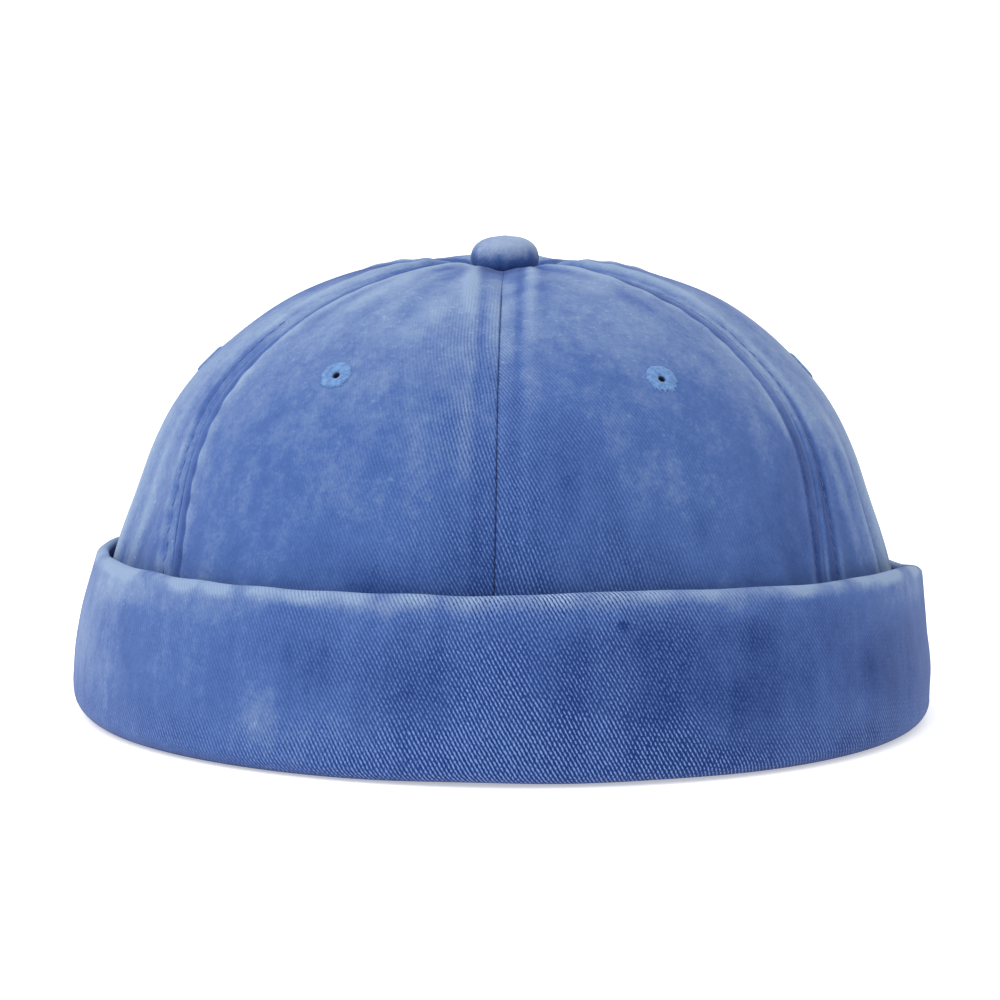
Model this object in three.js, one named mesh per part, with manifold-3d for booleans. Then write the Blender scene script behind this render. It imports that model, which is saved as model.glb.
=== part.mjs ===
// A brimless sailor cap in washed cotton twill, in millimetres, +Z up, front towards -Y.
// It stands on its turned-up cuff, and the origin is the middle of its foot.
// Six panels meet at a covered button, each with a stitched eyelet, and the cuff wraps their lower edge.
// Azimuths are degrees round +Z from the front, towards +X. Left and right are as seen from the front.

import * as THREE from 'three';
import { mergeVertices } from 'three/addons/utils/BufferGeometryUtils.js';
import Module from 'manifold-3d';

// The mouth that the head goes into, and the crown's height above the foot
const mouthWidth = 188.6;
const mouthDepth = 179.4;
const crownHeight = 104.6;

// Cloth: one layer in the panels, two in the cuff, and the gap between sewn pieces
const panelCloth = 1.2;
const cuffCloth = 2.8;
const sewnGap = 0.3;

// Relief of the panels: how far the seams lie below the panels' middles, and the gathers at the button
const seamSink = 1.5;
const gatherRise = 0.9;
const foldDepth = 2.2;

// The cuff: its height, and how far it stands off the crown at its foot and at its rim
const cuffHeight = 39.8;
const cuffFootGap = 1.2;
const cuffRimGap = 3.0;
const cuffEdgeRadius = 3.8;

// The button: a domed cap on a post that is riveted to a disc inside the crown
const buttonDiameter = 15.2;
const buttonHeight = 8.1;
const postDiameter = 3.0;
const discDiameter = 9.0;
const discThickness = 1.0;

// The stitched eyelets
const eyeletDiameter = 7.6;
const eyeletHole = 2.0;
const eyeletThickness = 0.55;
const eyeletBarrel = 1.1;

// Steps of the meshes
const panelRows = 20;
const cuffSteps = 60;
const buttonSides = 20;
const eyeletSides = 14;
const holeSides = 12;

// The crown's outline through the middle of a panel, from its lower edge to the button.
// radius: share of the way from the button's post to the foot's half width or half depth
// height: share of the way from the lower edge to the crown's top
// frontSeam: azimuth of the seam between a front panel and a side panel
const crownSections = [
  { radius: 1.000, height: 0.000, frontSeam: 52.5 },
  { radius: 0.987, height: 0.118, frontSeam: 53.0 },
  { radius: 0.960, height: 0.238, frontSeam: 53.8 },
  { radius: 0.926, height: 0.353, frontSeam: 55.2 },
  { radius: 0.882, height: 0.467, frontSeam: 58.2 },
  { radius: 0.840, height: 0.577, frontSeam: 60.3 },
  { radius: 0.788, height: 0.671, frontSeam: 61.6 },
  { radius: 0.718, height: 0.753, frontSeam: 62.7 },
  { radius: 0.622, height: 0.833, frontSeam: 63.4 },
  { radius: 0.516, height: 0.901, frontSeam: 63.2 },
  { radius: 0.406, height: 0.948, frontSeam: 62.3 },
  { radius: 0.290, height: 0.981, frontSeam: 61.2 },
  { radius: 0.195, height: 0.995, frontSeam: 60.4 },
  { radius: 0.132, height: 0.990, frontSeam: 60.0 },
  { radius: 0.082, height: 0.971, frontSeam: 60.0 },
  { radius: 0.041, height: 0.967, frontSeam: 60.0 },
  { radius: 0.000, height: 0.966, frontSeam: 60.0 },
];

// Soft folds pressed into the crown. climb: place from the lower edge, 0, to the button, 1
// width: half width in degrees. reach: half length in climb. depth: share of foldDepth, outwards if positive
const crownFolds = [
  { azimuth: -70, climb: 0.22, width: 4.5, reach: 0.14, depth: -0.75 },
  { azimuth: -78, climb: 0.20, width: 4.0, reach: 0.12, depth: 0.30 },
  { azimuth: 71, climb: 0.24, width: 4.0, reach: 0.14, depth: 0.45 },
  { azimuth: 79, climb: 0.20, width: 5.0, reach: 0.12, depth: -0.50 },
  { azimuth: 82, climb: 0.57, width: 32.0, reach: 0.12, depth: 0.32 },
  { azimuth: 22, climb: 0.30, width: 9.0, reach: 0.14, depth: -0.20 },
  { azimuth: -26, climb: 0.30, width: 10.0, reach: 0.15, depth: -0.20 },
  { azimuth: 140, climb: 0.25, width: 8.0, reach: 0.13, depth: -0.40 },
  { azimuth: -150, climb: 0.27, width: 9.0, reach: 0.14, depth: -0.40 },
];

// The cuff every 15 degrees from the front. height: share of cuffHeight. standOff: share of cuffRimGap
// edge: how high the rounding of its lower edge reaches, as a share of cuffEdgeRadius
const cuffWaves = [
  { height: 1.000, standOff: 1.00, edge: 1.00 },
  { height: 1.018, standOff: 1.00, edge: 1.00 },
  { height: 1.008, standOff: 1.05, edge: 1.00 },
  { height: 0.984, standOff: 1.15, edge: 1.05 },
  { height: 0.966, standOff: 1.30, edge: 1.10 },
  { height: 0.930, standOff: 1.48, edge: 1.20 },
  { height: 0.862, standOff: 1.56, edge: 1.25 },
  { height: 0.826, standOff: 1.48, edge: 1.20 },
  { height: 0.843, standOff: 1.30, edge: 1.10 },
  { height: 0.880, standOff: 1.15, edge: 1.00 },
  { height: 0.910, standOff: 1.05, edge: 1.00 },
  { height: 0.928, standOff: 1.00, edge: 1.00 },
  { height: 0.935, standOff: 0.95, edge: 1.00 },
  { height: 0.933, standOff: 0.92, edge: 1.00 },
  { height: 0.925, standOff: 0.90, edge: 1.00 },
  { height: 0.920, standOff: 0.85, edge: 1.10 },
  { height: 0.918, standOff: 0.75, edge: 1.30 },
  { height: 0.922, standOff: 0.65, edge: 1.55 },
  { height: 0.934, standOff: 0.60, edge: 1.75 },
  { height: 0.950, standOff: 0.62, edge: 1.70 },
  { height: 0.958, standOff: 0.72, edge: 1.45 },
  { height: 0.973, standOff: 0.85, edge: 1.15 },
  { height: 0.994, standOff: 0.95, edge: 1.00 },
  { height: 1.004, standOff: 1.00, edge: 1.00 },
];

// The panels, from the front round by +X. eyelet: its azimuth. height: its share of crownHeight
const panels = [
  { name: 'front_right', eyelet: 32.2, height: 0.788 },
  { name: 'side_right', eyelet: 90, height: 0.770 },
  { name: 'back_right', eyelet: 150, height: 0.775 },
  { name: 'back_left', eyelet: 210, height: 0.775 },
  { name: 'side_left', eyelet: 270, height: 0.772 },
  { name: 'front_left', eyelet: 327.6, height: 0.788 },
];

const backSeam = 120;
const halfTurn = 180;
const fullTurn = 360;

// What follows from the sizes above
const footHalfWidth = mouthWidth / 2 + panelCloth;
const footHalfDepth = mouthDepth / 2 + panelCloth;
const edgeHeight = cuffCloth + sewnGap;
const crownTipRadius = postDiameter / 2 + sewnGap;

const twillBlue = new THREE.MeshStandardMaterial({ color: 0x5c7fbd, roughness: 0.9, metalness: 0 });
const cuffBlue = new THREE.MeshStandardMaterial({ color: 0x5578b8, roughness: 0.9, metalness: 0 });
const buttonBlue = new THREE.MeshStandardMaterial({ color: 0x7d98c8, roughness: 0.85, metalness: 0 });
const threadBlue = new THREE.MeshStandardMaterial({ color: 0x79a8dc, roughness: 0.6, metalness: 0 });

// Catmull-Rom value between b and c at share s, with their neighbours a and d
function between(a, b, c, d, s) {
  const rise = (c - a) / 2;
  const fall = (d - b) / 2;
  return b + s * (rise + s * (3 * (c - b) - 2 * rise - fall + s * (2 * (b - c) + rise + fall)));
}

// A column of an open table at position 0 to 1
function alongTable(rows, column, position) {
  const last = rows.length - 1;
  const at = THREE.MathUtils.clamp(position, 0, 1) * last;
  const k = Math.min(Math.floor(at), last - 1);
  const value = (i) => rows[THREE.MathUtils.clamp(i, 0, last)][column];
  return between(value(k - 1), value(k), value(k + 1), value(k + 2), at - k);
}

// A column of a closed table at an azimuth
function aroundTable(rows, column, azimuth) {
  const at = (THREE.MathUtils.euclideanModulo(azimuth, fullTurn) / fullTurn) * rows.length;
  const k = Math.floor(at);
  const value = (i) => rows[THREE.MathUtils.euclideanModulo(i, rows.length)][column];
  return between(value(k - 1), value(k), value(k + 1), value(k + 2), at - k);
}

// A smooth hump of height 1 and half width 1
function hump(x) {
  return Math.exp(-x * x);
}

// The shortest way from one azimuth to another, in degrees
function turnBetween(from, to) {
  return THREE.MathUtils.euclideanModulo(to - from + halfTurn, fullTurn) - halfTurn;
}

// The seams' azimuths at a climb, from the front round by +X to the front again
function seamAzimuths(climb) {
  const side = alongTable(crownSections, 'frontSeam', climb);
  return [0, side, backSeam, halfTurn, fullTurn - backSeam, fullTurn - side, fullTurn];
}

// The crown's smooth form, without the relief of panels and folds
function crownForm(azimuth, climb) {
  const share = alongTable(crownSections, 'radius', climb);
  const rise = alongTable(crownSections, 'height', climb);
  const turn = THREE.MathUtils.degToRad(azimuth);
  return new THREE.Vector3(
    (crownTipRadius + share * (footHalfWidth - crownTipRadius)) * Math.sin(turn),
    -(crownTipRadius + share * (footHalfDepth - crownTipRadius)) * Math.cos(turn),
    edgeHeight + rise * (crownHeight - edgeHeight),
  );
}

// How far the cloth lies outside the smooth form: sunk at the seams, gathered at the button, and folded
function crownRelief(azimuth, climb) {
  const around = THREE.MathUtils.euclideanModulo(azimuth, fullTurn);
  const seams = seamAzimuths(climb);
  const k = Math.max(seams.findIndex((seam) => seam > around) - 1, 0);
  const across = (2 * (around - seams[k])) / (seams[k + 1] - seams[k]) - 1;
  const nearButton = hump((climb - 0.84) / 0.07);
  const onDome = THREE.MathUtils.smoothstep(1 - climb, 0.12, 0.3);
  const sink = -seamSink * Math.abs(across) ** 2.6 * onDome * (0.45 + 0.55 * THREE.MathUtils.smoothstep(climb, 0, 0.4));
  const gathers = gatherRise * nearButton * (hump((Math.abs(across) - 0.5) / 0.24) - 0.6);
  const folds = crownFolds.reduce((sum, fold) => sum + foldDepth * fold.depth
    * hump(turnBetween(fold.azimuth, azimuth) / fold.width) * hump((climb - fold.climb) / fold.reach), 0);
  return sink + gathers + folds;
}

// The outward normal of a surface of azimuth and climb
function normalOf(surface, azimuth, climb) {
  const step = 0.004;
  const low = Math.max(climb - step, 0);
  const high = Math.min(climb + step, 1);
  const up = surface(azimuth, high).sub(surface(azimuth, low));
  const round = surface(azimuth + 0.5, climb).sub(surface(azimuth - 0.5, climb));
  return round.cross(up).normalize();
}

// The outer face of the crown's cloth
function crownFace(azimuth, climb) {
  const normal = normalOf(crownForm, azimuth, climb);
  return crownForm(azimuth, climb).addScaledVector(normal, crownRelief(azimuth, climb));
}

// The climb at which the crown's smooth form reaches a height, halving the range until it is found
function climbAt(height) {
  let low = 0;
  let high = 0.7;
  for (let k = 0; k < 40; k += 1) {
    const middle = (low + high) / 2;
    if (crownForm(0, middle).z < height) low = middle;
    else high = middle;
  }
  return low;
}

// A closed mesh from its points and triangles
function meshGeometry(points, triangles) {
  const geometry = new THREE.BufferGeometry();
  geometry.setAttribute('position', new THREE.Float32BufferAttribute(points.flatMap((p) => [p.x, p.y, p.z]), 3));
  geometry.setIndex(triangles);
  return geometry;
}

// Two triangles of the face a, b, c, d, in order round it
function twoTriangles(a, b, c, d) {
  return [a, b, c, a, c, d];
}

// One panel of the crown: its cloth between two seams, from the lower edge to the button's post
function panelGeometry(index) {
  // shares across the panel from seam to seam, closer together at the seams
  const across = [0, 0.035, 0.12, 0.24, 0.37, 0.5, 0.63, 0.76, 0.88, 0.965, 1];
  const outside = [];
  const inside = [];
  for (let i = 0; i <= panelRows; i += 1) {
    const climb = i / panelRows;
    const seams = seamAzimuths(climb);
    const girth = Math.hypot(crownForm(90, climb).x, crownForm(0, climb).y) / Math.SQRT2;
    const trim = THREE.MathUtils.radToDeg(sewnGap / 2 / girth);
    for (const share of across) {
      const azimuth = THREE.MathUtils.lerp(seams[index] + trim, seams[index + 1] - trim, share);
      const face = crownFace(azimuth, climb);
      const back = face.clone().addScaledVector(normalOf(crownFace, azimuth, climb), -panelCloth);
      if (i === 0) back.z = face.z;
      outside.push(face);
      inside.push(back);
    }
  }
  const columns = across.length;
  const half = outside.length;
  const triangles = [];
  for (let i = 0; i < panelRows; i += 1) {
    for (let j = 0; j < columns - 1; j += 1) {
      const a = i * columns + j;
      triangles.push(...twoTriangles(a, a + 1, a + columns + 1, a + columns));
      triangles.push(...twoTriangles(half + a, half + a + columns, half + a + columns + 1, half + a + 1));
    }
    const first = i * columns;
    const last = first + columns - 1;
    triangles.push(...twoTriangles(first, first + columns, half + first + columns, half + first));
    triangles.push(...twoTriangles(last, half + last, half + last + columns, last + columns));
  }
  const top = panelRows * columns;
  for (let j = 0; j < columns - 1; j += 1) {
    triangles.push(...twoTriangles(j, half + j, half + j + 1, j + 1));
    triangles.push(...twoTriangles(top + j, top + j + 1, half + top + j + 1, half + top + j));
  }
  return meshGeometry([...outside, ...inside], triangles);
}

// The cuff's section at an azimuth, as distance outside the crown's smooth form and height, round the cloth
function cuffSection(azimuth) {
  const top = cuffHeight * aroundTable(cuffWaves, 'height', azimuth);
  const rimGap = cuffRimGap * aroundTable(cuffWaves, 'standOff', azimuth);
  const gapAt = (z) => cuffFootGap + (rimGap - cuffFootGap) * (z / top) ** 1.6;
  const fold = cuffCloth / 2;
  const foot = cuffFootGap + cuffCloth;
  const edge = cuffEdgeRadius * aroundTable(cuffWaves, 'edge', azimuth);
  const section = [{ out: -panelCloth, z: 0 }];
  for (const turn of [0, 30, 60, 90]) {
    const angle = THREE.MathUtils.degToRad(turn);
    section.push({ out: foot - cuffEdgeRadius * (1 - Math.sin(angle)), z: edge * (1 - Math.cos(angle)) });
  }
  for (const share of [0.25, 0.5, 0.75]) {
    section.push({ out: gapAt(share * top) + cuffCloth, z: share * top });
  }
  for (const turn of [0, 45, 90, 135, 180]) {
    const angle = THREE.MathUtils.degToRad(turn);
    section.push({ out: gapAt(top - fold) + fold + fold * Math.cos(angle), z: top - fold + fold * Math.sin(angle) });
  }
  for (const share of [0.7, 0.4]) {
    section.push({ out: gapAt(share * top), z: share * top });
  }
  section.push({ out: cuffFootGap, z: cuffCloth });
  section.push({ out: -panelCloth, z: cuffCloth });
  return section;
}

// The cuff: its section carried round the crown. Its turned-in foot lies under the panels' lower edge
function cuffGeometry() {
  const points = [];
  const triangles = [];
  const size = cuffSection(0).length;
  for (let i = 0; i < cuffSteps; i += 1) {
    const azimuth = (i / cuffSteps) * fullTurn;
    const turn = THREE.MathUtils.degToRad(azimuth);
    for (const { out, z } of cuffSection(azimuth)) {
      const climb = climbAt(Math.max(z, edgeHeight));
      const halfWidth = crownForm(90, climb).x + out;
      const halfDepth = -crownForm(0, climb).y + out;
      points.push(new THREE.Vector3(halfWidth * Math.sin(turn), -halfDepth * Math.cos(turn), z));
    }
    const next = (i + 1) % cuffSteps;
    for (let j = 0; j < size; j += 1) {
      const k = (j + 1) % size;
      triangles.push(...twoTriangles(i * size + j, next * size + j, next * size + k, i * size + k));
    }
  }
  return meshGeometry(points, triangles);
}

// A solid turned round +Z from its half section, as radius and height
function turnedGeometry(section, sides) {
  const outline = section.map(({ radius, z }) => new THREE.Vector2(radius, z));
  return new THREE.LatheGeometry(outline, sides).rotateX(Math.PI / 2);
}

// The top button: a rounded cap, its post through the crown, and the disc that holds it inside
function buttonGeometry() {
  const seat = crownForm(0, 1).z + sewnGap;
  const under = crownForm(0, 1).z - panelCloth - sewnGap;
  const radius = buttonDiameter / 2;
  const post = postDiameter / 2;
  const disc = discDiameter / 2;
  const cap = [
    { radius: 0.78, z: 0.00 },
    { radius: 0.93, z: 0.09 },
    { radius: 1.00, z: 0.28 },
    { radius: 1.00, z: 0.53 },
    { radius: 0.955, z: 0.70 },
    { radius: 0.87, z: 0.83 },
    { radius: 0.70, z: 0.92 },
    { radius: 0.42, z: 0.98 },
  ];
  const section = [
    { radius: 0, z: under - discThickness },
    { radius: disc, z: under - discThickness },
    { radius: disc, z: under },
    { radius: post, z: under },
    { radius: post, z: seat },
    ...cap.map((row) => ({ radius: row.radius * radius, z: seat + row.z * buttonHeight })),
    { radius: 0, z: seat + buttonHeight },
  ];
  return turnedGeometry(section, buttonSides);
}

// Where an eyelet sits: a group on the crown's face with +Z along the normal
function eyeletSeat(azimuth, height) {
  const climb = climbOf(azimuth, height);
  const seat = new THREE.Group();
  seat.position.copy(crownFace(azimuth, climb));
  seat.quaternion.setFromUnitVectors(new THREE.Vector3(0, 0, 1), normalOf(crownFace, azimuth, climb));
  return seat;
}

// The climb at which the crown's face reaches a height at an azimuth, halving the range until it is found
function climbOf(azimuth, height) {
  let low = 0;
  let high = 0.7;
  for (let k = 0; k < 40; k += 1) {
    const middle = (low + high) / 2;
    if (crownFace(azimuth, middle).z < height) low = middle;
    else high = middle;
  }
  return low;
}

// A stitched eyelet: a rounded ring on the face, a barrel through the cloth and a smaller ring behind
function eyeletGeometry() {
  const hole = eyeletHole / 2;
  const barrel = hole + eyeletBarrel;
  const outer = eyeletDiameter / 2;
  const face = sewnGap;
  const back = -panelCloth - 2 * sewnGap;
  const section = [
    { radius: hole, z: back - eyeletThickness / 2 },
    { radius: barrel + 1.0, z: back - eyeletThickness / 2 },
    { radius: barrel + 1.0, z: back },
    { radius: barrel, z: back },
    { radius: barrel, z: face },
    { radius: outer, z: face },
    { radius: outer - 0.3, z: face + eyeletThickness * 0.6 },
    { radius: (outer + hole) / 2, z: face + eyeletThickness },
    { radius: hole + 0.2, z: face + eyeletThickness * 0.7 },
    { radius: hole, z: back - eyeletThickness / 2 },
  ];
  return turnedGeometry(section, eyeletSides);
}

const wasm = await Module();
wasm.setup();

// A geometry in the part's frame as a solid for cutting
function solidOf(geometry) {
  const bare = new THREE.BufferGeometry();
  bare.setAttribute('position', geometry.getAttribute('position'));
  bare.setIndex(geometry.index);
  const merged = mergeVertices(bare, 1e-4);
  return new wasm.Manifold(new wasm.Mesh({
    numProp: 3,
    vertProperties: new Float32Array(merged.getAttribute('position').array),
    triVerts: new Uint32Array(merged.index.array),
  }));
}

// A cut solid as a geometry again
function geometryOf(solid) {
  const mesh = solid.getMesh();
  const geometry = new THREE.BufferGeometry();
  geometry.setAttribute('position', new THREE.Float32BufferAttribute(mesh.vertProperties, 3));
  geometry.setIndex([...mesh.triVerts]);
  return geometry;
}

// A panel with the hole for its eyelet's barrel
function piercedPanel(index, seat) {
  const radius = eyeletHole / 2 + eyeletBarrel + sewnGap;
  const depth = 4 * (panelCloth + sewnGap);
  const punch = new THREE.CylinderGeometry(radius, radius, depth, holeSides).rotateX(Math.PI / 2);
  seat.updateMatrix();
  punch.applyMatrix4(seat.matrix);
  return geometryOf(solidOf(panelGeometry(index)).subtract(solidOf(punch)));
}

function named(name, geometry, material) {
  const mesh = new THREE.Mesh(geometry, material);
  mesh.name = name;
  return mesh;
}

const cap = new THREE.Group();
cap.name = 'sailor_cap';
panels.forEach((panel, index) => {
  const seat = eyeletSeat(panel.eyelet, panel.height * crownHeight);
  cap.add(named(`panel_${panel.name}`, piercedPanel(index, seat), twillBlue));
  seat.add(named(`eyelet_${panel.name}`, eyeletGeometry(), threadBlue));
  cap.add(seat);
});
cap.add(named('cuff', cuffGeometry(), cuffBlue));
cap.add(named('top_button', buttonGeometry(), buttonBlue));

// The cuff's waves shift its outline a little, so the foot's middle is set to the origin here
const outline = new THREE.Box3().setFromObject(cap);
const middle = outline.getCenter(new THREE.Vector3());
cap.position.set(-middle.x, -middle.y, 0);

export default cap;
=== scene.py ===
import bpy
import numpy as np
from mathutils import Matrix, Vector


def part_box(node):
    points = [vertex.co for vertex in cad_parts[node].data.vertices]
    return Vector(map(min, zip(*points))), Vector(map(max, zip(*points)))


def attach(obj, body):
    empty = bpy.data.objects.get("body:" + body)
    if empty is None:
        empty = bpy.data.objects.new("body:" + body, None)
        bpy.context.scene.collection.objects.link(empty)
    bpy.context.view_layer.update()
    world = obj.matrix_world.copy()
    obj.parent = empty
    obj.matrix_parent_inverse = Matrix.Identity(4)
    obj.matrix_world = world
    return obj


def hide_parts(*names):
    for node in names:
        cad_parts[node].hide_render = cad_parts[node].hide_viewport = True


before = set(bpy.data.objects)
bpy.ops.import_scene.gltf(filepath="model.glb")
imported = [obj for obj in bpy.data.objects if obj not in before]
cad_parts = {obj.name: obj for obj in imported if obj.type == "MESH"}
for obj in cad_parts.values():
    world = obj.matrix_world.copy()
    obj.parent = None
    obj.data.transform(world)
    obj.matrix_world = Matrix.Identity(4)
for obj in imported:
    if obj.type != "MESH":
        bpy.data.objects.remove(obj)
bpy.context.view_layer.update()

# A brimless sailor cap in washed blue cotton twill, standing on its turned-up cuff.
# Shapes are worked out in millimetres with +Z up and the front towards -Y, then written in metres.
# Azimuths are degrees round +Z from the front, towards +X. Climb runs from the crown's lower edge, 0, to
# the button, 1.

MM = 0.001
UP = np.array([0, 0, 1.0])

# The cap's sizes, the same values as the solids'
MOUTH_WIDTH, MOUTH_DEPTH, CROWN_HEIGHT = 188.6, 179.4, 104.6
PANEL_CLOTH, CUFF_CLOTH, SEWN_GAP = 1.2, 2.8, 0.3
SEAM_SINK, GATHER_RISE, FOLD_DEPTH = 1.5, 0.9, 2.2
CUFF_HEIGHT, CUFF_FOOT_GAP, CUFF_RIM_GAP, CUFF_EDGE_RADIUS = 39.8, 1.2, 3.0, 3.8
BUTTON_DIAMETER, BUTTON_HEIGHT, POST_DIAMETER = 15.2, 8.1, 3.0
DISC_DIAMETER, DISC_THICKNESS = 9.0, 1.0
EYELET_DIAMETER, EYELET_HOLE, EYELET_BARREL = 7.6, 2.0, 1.1

# What only the dressed cap has: its stitches and the climb up to which they show beside the side seams, the
# cut along each seam and how far the inner faces close it, the ridges drawn up beside the seams near the
# button, the climbs between which pleats die out at it, the cut-out under each eyelet, and the cuff's mean
# radius at its join
STITCH_PITCH, STITCH_LENGTH, THREAD_RADIUS, SIDE_ROWS_END = 3.1, 2.1, 0.11, 0.55
SEAM_CUT, SNUG_SHARE, RIDGE_DISTANCE = 0.03, 0.97, 6.3
PLEATS_FADE, PLEATS_GONE = 0.84, 0.92
CUT_OUT_HALF_WIDTH, CUT_OUT_HALF_HEIGHT, JOIN_RADIUS = 1.9, 1.5, 92
# The step in climb over which directions are measured
CLIMB_STEP = 0.004

FOOT_HALF_WIDTH = MOUTH_WIDTH / 2 + PANEL_CLOTH
FOOT_HALF_DEPTH = MOUTH_DEPTH / 2 + PANEL_CLOTH
EDGE_HEIGHT = CUFF_CLOTH + SEWN_GAP
TIP_RADIUS = POST_DIAMETER / 2 + SEWN_GAP

# The crown's outline: radius, height, azimuth of the seam between a front and a side panel
CROWN = np.array([
    (1.000, 0.000, 52.5), (0.987, 0.118, 53.0), (0.960, 0.238, 53.8), (0.926, 0.353, 55.2),
    (0.882, 0.467, 58.2), (0.840, 0.577, 60.3), (0.788, 0.671, 61.6), (0.718, 0.753, 62.7),
    (0.622, 0.833, 63.4), (0.516, 0.901, 63.2), (0.406, 0.948, 62.3), (0.290, 0.981, 61.2),
    (0.195, 0.995, 60.4), (0.132, 0.990, 60.0), (0.082, 0.971, 60.0), (0.041, 0.967, 60.0),
    (0.000, 0.966, 60.0)])

# Soft folds in the crown: azimuth, climb, half width in degrees, half length in climb, depth
FOLDS = np.array([
    (-70, 0.22, 4.5, 0.14, -0.75), (-78, 0.20, 4.0, 0.12, 0.30), (71, 0.24, 4.0, 0.14, 0.45),
    (79, 0.20, 5.0, 0.12, -0.50), (82, 0.57, 32.0, 0.12, 0.32), (22, 0.30, 9.0, 0.14, -0.20),
    (-26, 0.30, 10.0, 0.15, -0.20), (140, 0.25, 8.0, 0.13, -0.40), (-150, 0.27, 9.0, 0.14, -0.40)])

# The cuff every 15 degrees: height, stand-off at the rim, rounding of the lower edge
WAVES = np.array([
    (1.000, 1.00, 1.00), (1.018, 1.00, 1.00), (1.008, 1.05, 1.00), (0.984, 1.15, 1.05),
    (0.966, 1.30, 1.10), (0.930, 1.48, 1.20), (0.862, 1.56, 1.25), (0.826, 1.48, 1.20),
    (0.843, 1.30, 1.10), (0.880, 1.15, 1.00), (0.910, 1.05, 1.00), (0.928, 1.00, 1.00),
    (0.935, 0.95, 1.00), (0.933, 0.92, 1.00), (0.925, 0.90, 1.00), (0.920, 0.85, 1.10),
    (0.918, 0.75, 1.30), (0.922, 0.65, 1.55), (0.934, 0.60, 1.75), (0.950, 0.62, 1.70),
    (0.958, 0.72, 1.45), (0.973, 0.85, 1.15), (0.994, 0.95, 1.00), (1.004, 1.00, 1.00)])

# The panels from the front round by +X: name, azimuth of the eyelet, its height
PANELS = [("front_right", 32.2, 0.788), ("side_right", 90.0, 0.770), ("back_right", 150.0, 0.775),
          ("back_left", 210.0, 0.775), ("side_left", 270.0, 0.772), ("front_left", 327.6, 0.788)]

# The six seams from the front round by +X, in mm: distance of the two rows of stitches, rise of the turned
# edges under the cloth, depth and half width of the channels along the stitches, rise of the soft ridge
# outside them
SEAMS = np.array([
    (4.3, 0.05, 0.10, 1.00, 0.10), (4.2, 0.22, 0.30, 0.90, 0.28), (3.7, 0.20, 0.26, 0.80, 0.20),
    (3.9, 0.16, 0.22, 0.90, 0.16), (3.7, 0.20, 0.26, 0.80, 0.20), (3.5, 0.24, 0.34, 0.75, 0.26)])

# Pleats at the button: azimuth, half width in degrees, climb at which they die out, height in mm
PLEATS = np.array([
    (42, 8, 0.64, 0.42), (57, 6, 0.62, -0.30), (71, 7, 0.62, 0.34), (96, 9, 0.66, -0.22),
    (118, 8, 0.64, 0.28), (-30, 5, 0.62, 0.22), (-42, 5, 0.60, 0.34), (-52, 4, 0.58, -0.26),
    (-68, 6, 0.60, 0.32), (-92, 8, 0.64, -0.22), (-114, 8, 0.66, 0.26), (140, 8, 0.68, -0.24),
    (160, 8, 0.66, 0.30), (-134, 8, 0.66, -0.26), (-158, 9, 0.66, 0.30)])

# Upright creases pressed in above the cuff: azimuth, half width in degrees, climb, half length, height in mm,
# degrees that they turn over a climb of 1
CREASES = np.array([
    (-82, 1.6, 0.20, 0.09, 0.45, -20), (-76, 1.5, 0.18, 0.10, -0.40, -10), (-72, 1.4, 0.24, 0.13, 0.40, 0),
    (-47, 1.8, 0.17, 0.07, 0.22, 14), (-40, 2.2, 0.20, 0.08, -0.18, 20), (66.5, 1.4, 0.26, 0.13, 0.36, 8),
    (72, 1.5, 0.24, 0.12, 0.42, 10), (77, 1.8, 0.22, 0.10, -0.38, 10), (83, 2.0, 0.22, 0.12, 0.40, 14),
    (45, 2.0, 0.18, 0.08, 0.24, -16), (39, 2.6, 0.20, 0.09, -0.16, -14), (18, 3.0, 0.16, 0.06, 0.12, -20),
    (104, 2.4, 0.20, 0.10, 0.36, 0), (137, 3.0, 0.18, 0.08, -0.30, 10), (162, 3.0, 0.20, 0.08, 0.26, 0),
    (-110, 2.4, 0.20, 0.10, -0.34, 0), (-143, 3.0, 0.18, 0.08, 0.30, -10), (-166, 2.6, 0.18, 0.08, -0.22, 0)])

lowest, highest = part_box("top_button")
AXIS = np.array([(lowest[0] + highest[0]) / 2, (lowest[1] + highest[1]) / 2, 0.0]) / MM


def smooth(value, low, high):
    """Smooth step: 0 below low, 1 above high, and 3s^2 - 2s^3 of the share s between them."""
    s = np.clip((value - low) / (high - low), 0, 1)
    return s * s * (3 - 2 * s)


def hump(value):
    """Bell of height 1: e to the power of minus value squared."""
    return np.exp(-value * value)


def catmull(a, b, c, d, s):
    """Catmull-Rom value between b and c at share s, with slopes (c - a)/2 and (d - b)/2."""
    rise, fall = (c - a) / 2, (d - b) / 2
    return b + s * (rise + s * (3 * (c - b) - 2 * rise - fall + s * (2 * (b - c) + rise + fall)))


def along(column, position):
    """Value of an open table's column at position 0 to 1, by Catmull-Rom between its rows."""
    last = len(column) - 1
    at = np.clip(position, 0, 1) * last
    k = np.minimum(np.floor(at).astype(int), last - 1)
    pick = lambda i: column[np.clip(i, 0, last)]
    return catmull(pick(k - 1), pick(k), pick(k + 1), pick(k + 2), at - k)


def around(column, azimuth):
    """Value of a closed table's column at an azimuth, by Catmull-Rom between its rows."""
    count = len(column)
    at = np.mod(azimuth, 360) / 360 * count
    k = np.floor(at).astype(int)
    pick = lambda i: column[np.mod(i, count)]
    return catmull(pick(k - 1), pick(k), pick(k + 1), pick(k + 2), at - k)


def turn_between(start, end):
    """The shortest way from one azimuth to another: (end - start + 180) modulo 360, less 180."""
    return np.mod(end - start + 180, 360) - 180


def near(azimuth, middle, width):
    """Bell round an azimuth: 1 at its middle, and 1/e at a width in degrees from it."""
    return hump(turn_between(middle, azimuth) / width)


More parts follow.
